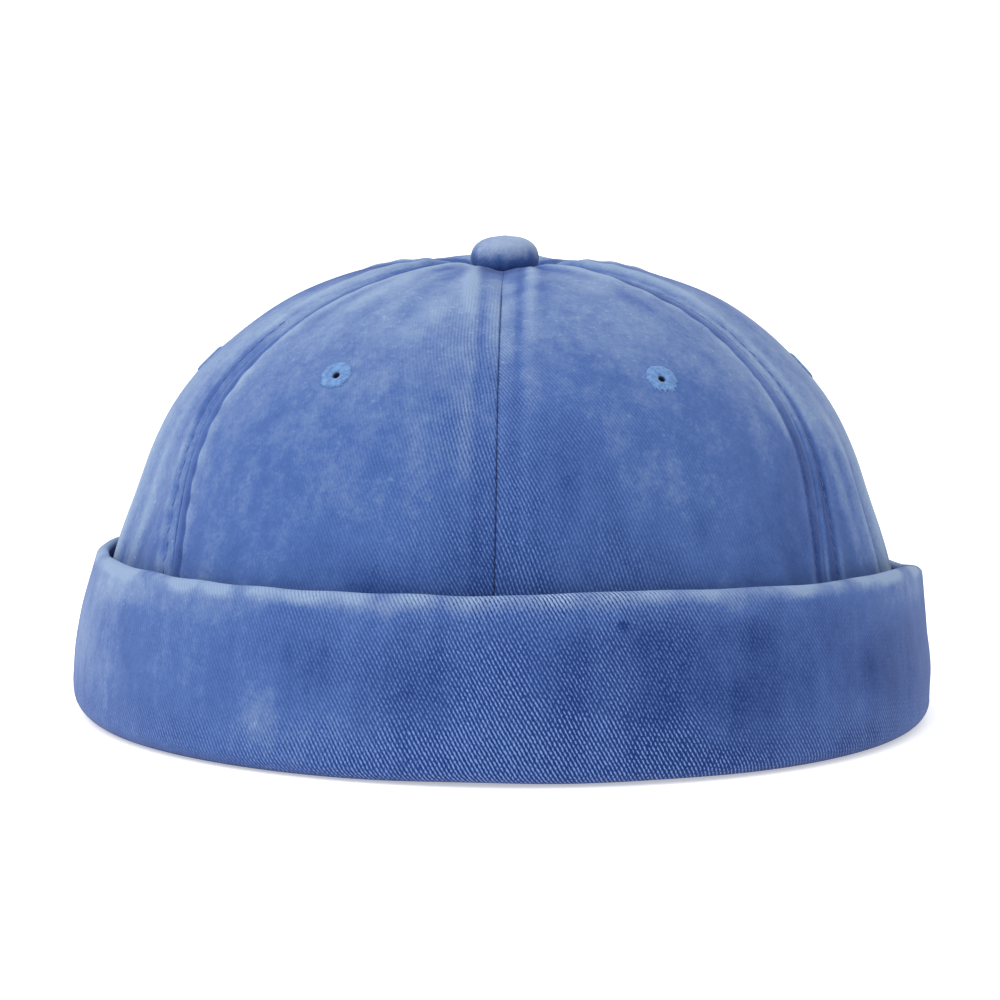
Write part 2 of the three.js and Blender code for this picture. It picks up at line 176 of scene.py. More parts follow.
def rise_and_fall(value, low, high, still, gone):
    """Smooth step up between low and high, times a smooth step down between still and gone."""
    return smooth(value, low, high) * (1 - smooth(value, still, gone))


def ripple(x, y, seed, waves=7):
    """Smooth uneven field of about unit size: the mean of sines with seeded directions, rates and phases."""
    luck = np.random.default_rng(seed)
    total = np.zeros(np.broadcast(x, y).shape)
    for _ in range(waves):
        heading, rate, phase = luck.uniform(0, 2 * np.pi), luck.uniform(0.6, 1.7), luck.uniform(0, 2 * np.pi)
        total += np.sin(rate * (x * np.cos(heading) + y * np.sin(heading)) + phase)
    return total / np.sqrt(waves)


def seam_azimuths(climb):
    """The six seams' azimuths at a climb, from the front round, and the front seam again at 360."""
    side = along(CROWN[:, 2], climb)
    level = 0 * side
    return np.stack([level, side, 120 + level, 180 + level, 240 + level, 360 - side, 360 + level])


def crown_form(azimuth, climb):
    """Smooth crown: at each climb an ellipse, its half width and depth taken from the tip radius to the foot
    by the table's radius, and its height from the lower edge to the top by the table's height."""
    share, rise = along(CROWN[:, 0], climb), along(CROWN[:, 1], climb)
    turn = np.radians(azimuth)
    return np.stack(np.broadcast_arrays(
        (TIP_RADIUS + share * (FOOT_HALF_WIDTH - TIP_RADIUS)) * np.sin(turn),
        -(TIP_RADIUS + share * (FOOT_HALF_DEPTH - TIP_RADIUS)) * np.cos(turn),
        EDGE_HEIGHT + rise * (CROWN_HEIGHT - EDGE_HEIGHT)), -1)


def radius_at(azimuth, climb):
    """Distance of the smooth crown from the axis, in mm."""
    form = crown_form(azimuth, climb)
    return np.hypot(form[..., 0], form[..., 1])


def unit(vectors):
    """Vectors divided by their lengths."""
    return vectors / np.maximum(np.linalg.norm(vectors, axis=-1, keepdims=True), 1e-9)


def normal_of(surface, azimuth, climb):
    """Outward normal: the cross product of the surface's steps round and up."""
    low, high = np.maximum(climb - CLIMB_STEP, 0), np.minimum(climb + CLIMB_STEP, 1)
    up = surface(azimuth, high) - surface(azimuth, low)
    return unit(np.cross(surface(azimuth + 0.5, climb) - surface(azimuth - 0.5, climb), up))


CLIMBS = np.linspace(0, 1, 801)
LENGTHS = np.concatenate([[0], np.cumsum(np.linalg.norm(np.diff(crown_form(60.0, CLIMBS), axis=0), axis=1))])


def length_at(climb):
    """Distance in mm along the crown from its lower edge, summed over short steps."""
    return np.interp(climb, CLIMBS, LENGTHS)


def climb_at(length):
    """The climb at a distance along the crown, the inverse of length_at."""
    return np.interp(length, LENGTHS, CLIMBS)


def seam_place(azimuth, climb):
    """A point's nearest seam, the signed distance from it in mm towards greater azimuth, and the place
    across the panel from -1 to 1 between its two seams."""
    azimuth, climb = np.broadcast_arrays(np.mod(azimuth, 360.0), climb)
    seams = seam_azimuths(climb)
    ways = np.stack([turn_between(seam, azimuth) for seam in seams[:6]])
    nearest = np.argmin(np.abs(ways), axis=0)
    pick = lambda table, k: np.take_along_axis(table, k[None], 0)[0]
    distance = np.radians(pick(ways, nearest)) * radius_at(azimuth, climb)
    k = np.clip((azimuth[None] >= seams[:6]).sum(0) - 1, 0, 5)
    low, high = pick(seams, k), pick(seams, k + 1)
    return nearest, distance, 2 * (azimuth - low) / (high - low) - 1


def main_relief(azimuth, climb, across):
    """Relief of the solids: seams sunk by the place across the panel to the power 2.6, gathers half way
    across at the button, here half as high, and the table's folds, each the product of two bells. The cloth
    is settled by up to 0.7 mm more round the button, by a bell of the climb."""
    on_dome = smooth(1 - climb, 0.12, 0.3)
    sink = -SEAM_SINK * np.abs(across) ** 2.6 * on_dome * (0.45 + 0.55 * smooth(climb, 0, 0.4))
    gathers = 0.5 * GATHER_RISE * hump((climb - 0.84) / 0.07) * (hump((np.abs(across) - 0.5) / 0.24) - 0.6)
    folds = sum(FOLD_DEPTH * depth * near(azimuth, middle, width) * hump((climb - level) / length)
                for middle, level, width, length, depth in FOLDS)
    return sink + gathers + folds - 0.7 * hump((climb - 0.755) / 0.06)


def crown_face(azimuth, climb):
    """Outer face without the sewn detail, as the solids have it."""
    _, _, across = seam_place(azimuth, climb)
    rise = main_relief(azimuth, climb, across)
    return crown_form(azimuth, climb) + rise[..., None] * normal_of(crown_form, azimuth, climb)


def eyelet_seat(azimuth, height):
    """Point and normal of the solid's face at an azimuth and a height, its climb found by halving."""
    azimuth, low, high = np.array(azimuth), 0.0, 0.7
    for _ in range(40):
        middle = (low + high) / 2
        if crown_face(azimuth, np.array(middle))[2] < height:
            low = middle
        else:
            high = middle
    return crown_face(azimuth, np.array(low)), normal_of(crown_face, azimuth, np.array(low))


EYELET_SEATS = [eyelet_seat(azimuth, height * CROWN_HEIGHT) for _, azimuth, height in PANELS]


def front_side(number, side):
    """1 on the front panels' side of the two side seams, else 0."""
    return (((number == 1) & (side < 0)) | ((number == 5) & (side > 0))) * 1.0


def eyelet_nearness(azimuth, climb, reach):
    """Bells of a reach in mm round the eyelets, 1 at each middle."""
    place = crown_form(azimuth, climb)
    return sum(hump(np.linalg.norm(place - centre, axis=-1) / reach) for centre, _ in EYELET_SEATS)


def pleat_relief(azimuth, climb):
    """Pleats near the button in mm: the table's bells across, each from its own climb up to the button."""
    live = lambda start: rise_and_fall(climb, start - 0.14, start + 0.08, PLEATS_FADE, PLEATS_GONE)
    return sum(height * live(start) * near(azimuth, middle, width) for middle, width, start, height in PLEATS)


def crease_relief(azimuth, climb):
    """Upright creases above the cuff in mm: the table's bells across and up, leaning by their turn."""
    return sum(height * near(azimuth, middle + turn * (climb - level), width) * hump((climb - level) / length)
               for middle, width, level, length, height, turn in CREASES)


def stitch_row(number, side, run):
    """Distance in mm from the seam to its row of stitches on one side, which wanders a little. The right
    side seam's rows lean to the front high up and to the back low down, by about 1 mm."""
    lean = (number == 1) * side * (-1.1 + 1.8 * smooth(run, 62, 34))
    return SEAMS[number, 0] + lean + 0.25 * ripple(run / 9, number * 9.1 + side * 3.3, 5)


def thread_pull(number, side, run):
    """How hard the thread of a row draws the cloth in: an uneven share along the seam, about 0.1 to 1."""
    return 0.55 + 0.45 * ripple(run / 16, number * 5.7 + side * 1.9, 8)


def pucker_relief(number, side, run, d, row):
    """Puckers in mm across the stitches: waves of about 7 mm along the seam, strongest outside the row."""
    waves = np.sin(run * 2 * np.pi / 6.8 + 1.6 * ripple(run / 10, number * 4.3 + side * 2.2, 11))
    across = hump((d - row - 1.2) / 2.4) + 0.35 * hump((d - row / 2) / 1.4)
    return (0.15 - 0.12 * (number == 0)) * waves * thread_pull(number, side, run) * across


def seam_gap(number, run):
    """How far the seam's valley stands open, from nearly 0 to 1: all along the front seam, in places along
    the others, and hardly at the button."""
    shut = smooth(climb_at(run), 0.60, 0.70) * np.where(number == 0, 0.92, 0.65)
    open_in_places = 0.2 + 0.8 * smooth(ripple(run / 6, number * 6.3, 12), -0.3, 0.9)
    return np.where(number == 0, 1.0, open_in_places) * (1 - shut)


def sewn_relief(azimuth, climb, number, distance):
    """Fine relief in mm: a thin valley at each seam, its turned edges raised under the cloth out to the
    stitches, a soft channel along each row of stitches with a soft ridge outside it, puckers that die away in
    the panel, pleats near the button, swellings round the eyelets, and the washed cloth's unevenness."""
    run, d, side = length_at(climb), np.abs(distance), np.sign(distance)
    rise, channel, width, ridge = (SEAMS[number, k] for k in range(1, 5))
    row, front, pull = stitch_row(number, side, run), front_side(number, side), thread_pull(number, side, run)
    drawn = 1 + 1.1 * smooth(climb, 0.60, 0.80)
    valley = -0.34 * seam_gap(number, run) * hump(d / (0.24 - 0.07 * (number == 0)))
    allowance = rise * rise_and_fall(d, 0.2, 1.4, row - 1.6, row - 0.1)
    pulled = -channel * drawn * hump((d - row) / (width * (1 + 0.5 * (1 - front)))) * (0.55 + 0.45 * pull)
    swell = ridge * drawn * (0.75 + 0.4 * pull) * hump((d - row - 1.8) / 1.7)
    low = -0.20 * front * rise_and_fall(d, 0.2, 1.2, row - 0.9, row + 1.1)
    pleats = pleat_relief(azimuth, climb) * smooth(d, 1.0, 4.0)
    crumple = 0.10 * rise_and_fall(climb, 0.66, 0.78, 0.80, 0.88) * ripple(azimuth / 4.2, climb * 3.0, 17, 9)
    beside = rise_and_fall(climb, 0.56, 0.70, PLEATS_FADE, PLEATS_GONE)
    beside = 0.30 * beside * hump((d - RIDGE_DISTANCE) / 2.0)
    sewn = valley + allowance + pulled + pucker_relief(number, side, run, d, row) + swell + low
    x, y = np.radians(azimuth) * 70 / 9, run / 9
    uneven = 0.11 * ripple(x, y, 23) + 0.30 * ripple(x / 3.2, y / 3.2, 29) * smooth(d, 2, 14)
    calm = 1 - np.clip(1.3 * eyelet_nearness(azimuth, climb, 6.0), 0, 1)
    cloth = sewn + pleats + crumple + beside + (uneven + crease_relief(azimuth, climb)) * calm
    held_ends = smooth(1 - climb, 0.03, 0.12) * smooth(climb, 0.0, 0.03)
    return held_ends * (cloth + 0.30 * eyelet_nearness(azimuth, climb, 4.2))


def crown_cloth(azimuth, climb):
    """Outer face of the crown's cloth: the smooth form moved along its normal by all its relief."""
    number, distance, across = seam_place(azimuth, climb)
    rise = main_relief(azimuth, climb, across) + sewn_relief(azimuth, climb, number, distance)
    return crown_form(azimuth, climb) + rise[..., None] * normal_of(crown_form, azimuth, climb)


# Places where the dye has worn pale or stayed deep on the crown: azimuth, climb, half widths, strength
CROWN_PATCHES = np.array([
    (-8, 0.66, 16, 0.1, 0.4), (-24, 0.6, 20, 0.09, 0.65), (16, 0.62, 15, 0.1, 0.2), (36, 0.56, 16, 0.08, 0.4),
    (-50, 0.58, 12, 0.1, 0.35), (-86, 0.36, 16, 0.16, 0.65), (-80, 0.22, 8, 0.1, 0.55),
    (-6, 0.46, 5, 0.1, 0.2), (84, 0.42, 18, 0.16, 0.75), (88, 0.2, 8, 0.12, 0.75), (50, 0.42, 7, 0.12, 0.35),
    (10, 0.44, 5, 0.05, 0.3), (24, 0.48, 8, 0.05, 0.1), (-48, 0.22, 5, 0.16, -0.15),
    (-60, 0.78, 16, 0.08, -0.25), (60, 0.76, 18, 0.09, -0.25), (38, 0.26, 6, 0.16, 0.15),
    (26, 0.34, 9, 0.12, 0.1), (48, 0.18, 6, 0.14, -0.35), (-30, 0.34, 12, 0.12, 0.05),
    (-38, 0.2, 8, 0.1, 0.05), (14, 0.2, 8, 0.12, -0.3), (160, 0.55, 24, 0.12, 0.55),
    (-140, 0.5, 24, 0.13, 0.5), (130, 0.4, 14, 0.16, 0.45), (-160, 0.3, 18, 0.1, 0.25),
    (-28, 0.2, 22, 0.06, -0.15), (9, 0.36, 7, 0.1, -0.4), (46, 0.3, 12, 0.13, -0.25),
    (-12, 0.3, 6, 0.14, 0.2), (26, 0.22, 16, 0.06, -0.2), (-4, 0.2, 6, 0.08, -0.6), (-60, 0.2, 7, 0.06, 0.05),
    (62, 0.28, 5, 0.1, -0.45), (150, 0.24, 26, 0.08, -0.4), (-120, 0.24, 20, 0.08, -0.35),
    (-8, 0.8, 14, 0.05, -0.75), (10, 0.54, 9, 0.05, 0.15), (78, 0.16, 6, 0.06, 0.1),
    (-75, 0.15, 6, 0.05, 0.05), (30, 0.68, 8, 0.05, 0.55), (63, 0.62, 5, 0.1, 0.35),
    (-75, 0.52, 6, 0.08, 0.4), (-57, 0.26, 2.5, 0.16, 0.25), (-63, 0.58, 5, 0.08, 0.45),
    (-66, 0.44, 3, 0.1, -0.55), (81, 0.46, 6, 0.08, -0.25), (-22, 0.58, 6, 0.05, 0.1),
    (0, 0.55, 5, 0.14, 0.3), (20, 0.7, 6, 0.045, -0.1), (-36, 0.74, 12, 0.06, -0.4),
    (34, 0.8, 14, 0.06, -0.75), (-66, 0.34, 3, 0.06, 0.2), (56, 0.5, 4, 0.06, 0.15),
    (-20, 0.46, 8, 0.06, 0.2), (-14, 0.14, 6, 0.05, -0.65), (-50, 0.42, 6, 0.08, 0.15),
    (1.5, 0.515, 4, 0.035, 0.35), (60, 0.45, 5, 0.07, 0.45), (-24, 0.66, 7, 0.05, -0.4),
    (12, 0.64, 5, 0.04, -0.5), (5, 0.2, 4, 0.06, -0.45), (-16, 0.19, 6, 0.05, -0.4),
    (-26, 0.6, 5, 0.04, -0.45), (42, 0.6, 5, 0.04, -0.6), (55, 0.6, 5, 0.04, 0.2), (36, 0.7, 6, 0.035, -0.5),
    (-60, 0.5, 5, 0.06, 0.15), (54, 0.32, 4, 0.06, -0.4), (-69, 0.18, 4, 0.05, -0.15),
    (-39, 0.58, 5, 0.04, -0.4)])

# The same on the cuff: azimuth, height share, half widths, strength
CUFF_PATCHES = np.array([
    (-78, 0.6, 14, 0.34, 0.5), (-60, 0.34, 8, 0.2, 0.2), (-34, 0.3, 8, 0.3, 0.15),
    (-40, 0.88, 12, 0.08, 0.15), (-16, 0.93, 12, 0.06, 0.45), (14, 0.92, 14, 0.06, 0.25),
    (44, 0.72, 8, 0.3, -0.1), (66, 0.85, 10, 0.12, 0.3), (84, 0.6, 14, 0.26, 0.05), (56, 0.5, 6, 0.2, -0.55),
    (130, 0.7, 20, 0.25, 0.45), (-130, 0.6, 24, 0.3, 0.45), (180, 0.75, 24, 0.2, 0.4),
    (2, 0.56, 26, 0.26, -0.5), (32, 0.5, 12, 0.38, -0.9), (-26, 0.62, 9, 0.24, -0.25),
    (70, 0.6, 16, 0.24, -0.55), (14, 0.74, 14, 0.16, -0.5), (-8, 0.1, 22, 0.1, -0.3),
    (74, 0.26, 14, 0.2, -0.3), (-48, 0.2, 10, 0.14, -0.2), (160, 0.3, 20, 0.24, -0.35),
    (-150, 0.24, 16, 0.2, -0.3), (-20, 0.3, 5, 0.4, 0.15), (-9, 0.4, 4, 0.4, -0.25), (9, 0.3, 4, 0.3, -0.8),
    (20, 0.24, 5, 0.3, -0.9), (50, 0.8, 8, 0.12, -0.2), (-66, 0.88, 8, 0.1, 0.55), (38, 0.14, 8, 0.1, -0.2),
    (62, 0.3, 6, 0.2, -0.3), (80, 0.88, 8, 0.1, 0.35), (-43, 0.5, 4, 0.4, -0.1), (-53, 0.4, 4, 0.3, -0.1),
    (26, 0.8, 6, 0.1, 0.05), (0, 0.86, 8, 0.08, -0.1), (28, 0.12, 5, 0.1, -0.7), (-57, 0.9, 7, 0.08, 0.4),
    (-24, 0.9, 6, 0.06, -0.3), (54, 0.1, 7, 0.1, -0.55), (-39, 0.1, 7, 0.1, -0.15), (33, 0.9, 4, 0.06, 0.45),
    (-37, 0.38, 3.5, 0.2, -0.25), (31, 0.62, 3.5, 0.12, 0.45), (36, 0.75, 3.5, 0.1, -0.3),
    (54, 0.85, 5, 0.08, -0.1), (-30, 0.4, 3, 0.35, 0.35), (24, 0.09, 12, 0.06, -0.45)])


def patch_field(patches, azimuth, height):
    """Sum of the table's patches, each the product of a bell across and a bell up, times its strength."""
    return sum(strength * near(azimuth, middle, width) * hump((height - level) / length)
               for middle, level, width, length, strength in patches)


def crown_wear_and_shade(azimuth, climb, number, distance):
    """Paleness from about -1, deep, to 1, pale: patches, pale ridges outside the stitches, the puckers,
    pleats and creases paler on their ridges where the cloth is worn and darker in their hollows as painted
    shade, and dye left deep in the seam's valley, its channels and the band on the front panels' side of the
    side seams."""
    run, d, side = length_at(climb), np.abs(distance), np.sign(distance)
    row, width = stitch_row(number, side, run), SEAMS[number, 3]
    front, inner = (number == 0) * 1.0, front_side(number, side)
    soft = 0.75 + 0.25 * ripple(run / 12, number * 2.1 + side, 37)
    broken = 0.70 + 0.30 * ripple(run / 4.0, number * 3.1 + side * 1.7, 31)
    dashes = 0.6 + 0.4 * np.sin(run * 2 * np.pi / 2.7 + 2 * ripple(run / 9, number * 1.3, 35))
    valley = -(0.30 + (0.60 - 0.25 * front) * dashes) * seam_gap(number, run)
    valley = valley * hump(d / (0.27 - 0.06 * front))
    edge = (0.16 - 0.04 * front + 0.20 * (number == 1)) * broken * hump((d - 1.0) / 0.7)
    ridge = (0.38 - 0.12 * front) * broken * hump((d - row - 1.9) / 1.6)
    band = -(0.03 + 0.60 * inner) * soft * rise_and_fall(d, 0.2, 1.3, row - 0.6, row + 0.9)
    # low down the dye is deep on both sides of the right seam
    right_seam = (number == 1) * (0.25 + 0.75 * (side > 0)) * smooth(climb, 0.56, 0.36)
    band = band - 0.50 * right_seam * soft * rise_and_fall(d, 1.2, 2.2, row, row + 1.8)
    channel = -(0.24 - 0.14 * inner) * soft * hump((d - row) / (width * 1.25))
    # the puckers, pleats and creases: paler on their ridges where the cloth is worn, and darker in their
    # hollows as painted shade
    folds_worn_and_shaded = 1.3 * crease_relief(azimuth, climb) + 1.9 * pleat_relief(azimuth, climb) * smooth(d, 1.0, 4.0)
    folds_worn_and_shaded = folds_worn_and_shaded + 0.9 * pucker_relief(number, side, run, d, row)
    beside = 0.12 * (1 - front) * soft * hump((d - row - 3.5) / 4.0) - 0.12 * front * hump(d / 3.5)
    # near the button the cloth beside the seam is drawn down and keeps its dye
    drawn = 0.58 * smooth(climb, 0.52, 0.68) * hump((d - RIDGE_DISTANCE) / 1.9)
    drawn = drawn - 0.45 * smooth(climb, 0.67, 0.77) * hump(d / 3.4)
    drawn = drawn - 0.24 * front * smooth(climb, 0.35, 0.60) * hump((d - 3.8) / 0.9)
    fade_in = smooth(1 - climb, 0.03, 0.14)
    sewn = edge + ridge + band + channel + beside + drawn + folds_worn_and_shaded
    cloth = patch_field(CROWN_PATCHES, azimuth, climb) + fade_in * sewn
    # the dye is never the deepest but in the valley: below this level the field is flattened to a quarter
    deepest = -0.62
    return np.where(cloth < deepest, deepest + 0.25 * (cloth - deepest), cloth) + fade_in * valley


def grid_faces(rows, columns, closed_rows=False, closed_columns=False):
    """Quads of a grid of points, row by row, wrapping where it is closed."""
    i = np.arange(rows if closed_rows else rows - 1)[:, None]
    j = np.arange(columns if closed_columns else columns - 1)[None, :]
    a = i * columns + j
    b = i * columns + (j + 1) % columns
    c = ((i + 1) % rows) * columns + (j + 1) % columns
    d = ((i + 1) % rows) * columns + j
    return np.stack(np.broadcast_arrays(a, b, c, d), -1).reshape(-1, 4)


def linked(thing):
    """An object put into the scene."""
    bpy.context.scene.collection.objects.link(thing)
    return thing


def build_piece(name, points, faces, uv, material, values=None, body="root", nodes=()):
    """A mesh from points in mm, quads, a surface map in mm at each point or each face corner, and named
    values at each point."""
    mesh = bpy.data.meshes.new(name)
    points = np.asarray(points, float).reshape(-1, 3)
    place = (points + AXIS) * MM
    mesh.vertices.add(len(place))
    mesh.vertices.foreach_set("co", place.astype(np.float32).ravel())
    faces = np.asarray(faces, np.int32)
    mesh.loops.add(faces.size)
    mesh.loops.foreach_set("vertex_index", faces.ravel())
    mesh.polygons.add(len(faces))
    mesh.polygons.foreach_set("loop_start", np.arange(len(faces), dtype=np.int32) * faces.shape[1])
    mesh.update(calc_edges=True)
    mesh.polygons.foreach_set("use_smooth", np.ones(len(faces), bool))
    layer = mesh.uv_layers.new(name="Cloth")
    flat = np.asarray(uv, np.float32).reshape(-1, 2) / 100
    layer.data.foreach_set("uv", (flat if len(flat) == faces.size else flat[faces.ravel()]).ravel())
    for key, column in (values or {}).items():
        attribute = mesh.attributes.new(key, "FLOAT", "POINT")
        attribute.data.foreach_set("value", np.asarray(column, np.float32).ravel())
    mesh.validate()
    mesh.materials.append(material)
    piece = linked(bpy.data.objects.new(name, mesh))
    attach(piece, body)
    if nodes:
        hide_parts(*nodes)
    return piece


# Shader groups

NUMBER, PLACE, COLOUR = "NodeSocketFloat", "NodeSocketVector", "NodeSocketColor"


class Value:
    """A node's output. Arithmetic with it places math nodes in the output's own tree."""

    def __init__(self, socket):
        self.socket = socket

    def math(self, operation, *others):
        """A math node with this value as its first operand."""
        inputs = dict(enumerate((self, *others)))
        return placed(self.socket.id_data, "ShaderNodeMath", inputs, 0, operation=operation)

    def __add__(self, other):
        return self.math("ADD", other)

    def __sub__(self, other):
        return self.math("SUBTRACT", other)

    def __mul__(self, other):
        return self.math("MULTIPLY", other)

    def __truediv__(self, other):
        return self.math("DIVIDE", other)

    def held(self):
        """This value, held between 0 and 1 by its own node."""
        self.socket.node.use_clamp = True
        return self


def feed(socket, value):
    """Link a value to a socket, or set the socket to a constant."""
    if isinstance(value, Value):
        socket.id_data.links.new(value.socket, socket)
    else:
        socket.default_value = value


def placed(tree, kind, inputs, output, **settings):
    """One output of a new node of a kind, its inputs fed by name or number and its settings made by name."""
    node = tree.nodes.new(kind)
    for label, setting in settings.items():
        setattr(node, label, setting)
    for label, value in inputs.items():
        feed(node.inputs[label], value)
    return Value(node.outputs[output])


def mapped(place, scale=(1, 1, 1), turn=0.0):
    """A place scaled, and turned about Z by degrees."""
    inputs = {"Vector": place, "Scale": scale, "Rotation": (0, 0, np.radians(turn))}
    return placed(place.socket.id_data, "ShaderNodeMapping", inputs, "Vector")


def noise(place, scale, detail=2.0, roughness=0.5, distortion=0.0):
    """A noise texture's value at a place."""
    inputs = {"Vector": place, "Scale": scale, "Detail": detail, "Roughness": roughness,
              "Distortion": distortion}
    return placed(place.socket.id_data, "ShaderNodeTexNoise", inputs, "Fac")


def mix_colour(share, a, b):
    """Colour a where the share is 0, colour b where it is 1."""
    return placed(share.socket.id_data, "ShaderNodeMix", {0: share, 6: a, 7: b}, 2, data_type="RGBA")


def span(value, low, high, out_low=0.0, out_high=1.0):
    """A value taken from one range to another, smoothly and held at its ends."""
    inputs = {0: value, 1: low, 2: high, 3: out_low, 4: out_high}
    return placed(value.socket.id_data, "ShaderNodeMapRange", inputs, 0, interpolation_type="SMOOTHSTEP")


def srgb(red, green, blue):
    """A colour of 0 to 255 in linear light: ((c + 0.055) / 1.055) to the power 2.4."""
    c = np.array([red, green, blue]) / 255
    return tuple(np.where(c <= 0.04045, c / 12.92, ((c + 0.055) / 1.055) ** 2.4)) + (1.0,)


def new_group(name, inputs, outputs):
    """A shader node group with sockets of the named kinds: the group, a function that gives an input's value
    by name, and the sockets of its outputs."""
    tree = bpy.data.node_groups.new(name, "ShaderNodeTree")
    for way, sockets in (("INPUT", inputs), ("OUTPUT", outputs)):
        for label, kind in sockets.items():
            tree.interface.new_socket(name=label, in_out=way, socket_type=kind)
    source, result = tree.nodes.new("NodeGroupInput"), tree.nodes.new("NodeGroupOutput")
    return tree, lambda label: Value(source.outputs[label]), result.inputs


def twill_group():
    """Twill ribs: a sine across the slanted ribs, hardly bent by low noise, cut into beads by a sine along
    them, with yarn grain. Cloth is the surface map in mm, Spacing the ribs' pitch; Height is about 0 to 1."""
    group, given, result = new_group(
        "Twill Ribs", {"Cloth": PLACE, "Spacing": NUMBER}, {"Height": NUMBER, "Grain": NUMBER})
    slanted = mapped(given("Cloth"), turn=-120)
    x, y = (placed(group, "ShaderNodeSeparateXYZ", {0: slanted}, k) for k in (0, 1))
    bend = (noise(slanted, 0.06, 1.0) - 0.5) * 1.4
    jitter = (noise(mapped(slanted, (0.45, 1.6, 1)), 1.0) - 0.5) * 0.26
    turn = (y + bend + jitter) * (2 * np.pi) / given("Spacing")
    rib = turn.math("SINE") * 0.5 + 0.5
    slide = noise(mapped(slanted, (0.9, 1.2, 1)), 1.0) * 9.0
    bead = (x * 5.2 + (turn * 0.5 + slide)).math("SINE")
    grain = noise(mapped(slanted, (1.5, 3.2, 1)), 1.0, 3.0, 0.65)
    feed(result["Height"], rib * (bead * 0.21 + 0.79) + (grain - 0.5) * 1.50)
    feed(result["Grain"], grain)
    return group


def dye_group():
    """Washed dye and painted shade: the Wear value, clouded by blotches, upright streaks, mottling and lint
    in Object space, takes the cloth from deep through middle to worn blue, and the ribs swing it to deep and
    crest blue."""
    group, given, result = new_group(
        "Washed Dye and Shade", {"Place": PLACE, "Wear": NUMBER, "Rib": NUMBER, "Contrast": NUMBER, "Streaks": NUMBER,
                       "Deep": COLOUR, "Middle": COLOUR, "Worn": COLOUR, "Crest": COLOUR},
        {"Color": COLOUR, "Roughness": NUMBER})
    place, wear = given("Place"), given("Wear")
    cloud = noise(place, 30.0, 4.0, 0.55, 0.6) - 0.5
    streak = noise(mapped(place, (150, 150, 18)), 1.0, 3.0) - 0.5
    mottle = noise(place, 330.0, 4.0, 0.65) - 0.5
    speck = noise(place, 1300.0, 2.0, 0.6) - 0.5
    lint = span(noise(place, 760.0, 4.0, 0.7), 0.56, 0.76) * (wear * 0.75 + 0.20).held()
    level = wear * 0.5 + 0.5 + cloud * 0.38 + streak * given("Streaks") + mottle * 0.38 + speck * 0.26
    level = level + lint * 0.55
    lower = mix_colour((level * 2.0).held(), given("Deep"), given("Middle"))
    dyed = mix_colour((level * 2.0 - 1.0).held(), lower, given("Worn"))
    # gaps between the ribs keep the deep dye, and their crests are paler, palest where the cloth is most worn
    crest = mix_colour(span(level, 0.85, 1.25), given("Crest"), srgb(152, 175, 222))
    swing = (given("Rib") - 0.45) * given("Contrast")
    gapped = mix_colour((swing * -2.1).held(), dyed, given("Deep"))
    feed(result["Color"], mix_colour((swing * 1.6).held(), gapped, crest))
    feed(result["Roughness"], span(mottle, -0.25, 0.25, 0.82, 0.96))
    return group


TWILL, DYE = twill_group(), dye_group()


def place_group(tree, group, **inputs):
    """The values that a group puts out in a tree, its inputs fed by name."""
    node = tree.nodes.new("ShaderNodeGroup")
    node.node_tree = group
    for label, value in inputs.items():
        feed(node.inputs[label], value)
    return [Value(socket) for socket in node.outputs]


def new_material(name, **constants):
    """A material, its node tree and its shader, with constants set on the shader's own sockets."""
    material = bpy.data.materials.new(name)
    material.use_nodes = True
    shader = material.node_tree.nodes["Principled BSDF"]
    for label, constant in constants.items():
        shader.inputs[label.replace("_", " ")].default_value = constant
    return material, material.node_tree, shader


def named_value(tree, name):
    """The value that a mesh holds at its points under a name."""
    return placed(tree, "ShaderNodeAttribute", {}, "Fac", attribute_name=name)


def emboss(shader, height, depth, strength):
    """Feed a height through a Bump node, its depth in mm, to the shader's Normal."""
    inputs = {"Height": height, "Distance": depth * MM, "Strength": strength}
    feed(shader.inputs["Normal"], placed(shader.id_data, "ShaderNodeBump", inputs, "Normal"))


def twill_material(name, worn, depth, contrast, spacing, streaks, lean, crest):
    """Washed cotton twill: ribs on the piece's own map, dye and painted shade by its wear value, and a soft
    sheen.
    Depth is the ribs' relief in mm, contrast how far they swing the dye where the weave value is 1, lean how
    many degrees steeper than 120 the ribs rise, crest the colour of their rubbed tops."""
    material, tree, shader = new_material(
        name, Sheen_Weight=0.10, Sheen_Roughness=0.6, Specular_IOR_Level=0.10)
    place = placed(tree, "ShaderNodeTexCoord", {}, "Object")
    cloth = mapped(placed(tree, "ShaderNodeUVMap", {}, "UV", uv_map="Cloth"), (100, 100, 100), lean)
    # the ribs are crisp in some places and rubbed flatter in others
    clear = span(noise(place, 70.0), 0.35, 0.65, 0.75, 1.20) * named_value(tree, "weave")
    rib, grain = place_group(tree, TWILL, Cloth=cloth, Spacing=spacing)
    colour, roughness = place_group(
        tree, DYE, Place=place, Wear=named_value(tree, "wear"), Rib=rib, Contrast=clear * contrast,
        Streaks=streaks, Deep=DEEP, Middle=MIDDLE, Worn=worn, Crest=crest)
    # where the ribs are rubbed away the yarns' grain and the washed cloth's fine crinkle still show
    crinkle = noise(place, 420.0, 3.0, 0.6)
    emboss(shader, rib * (clear * 0.85 + 0.10) + (grain * 0.25 + crinkle * 0.9), depth, 0.75)
    feed(shader.inputs["Base Color"], colour)
    feed(shader.inputs["Roughness"], roughness)
    return material


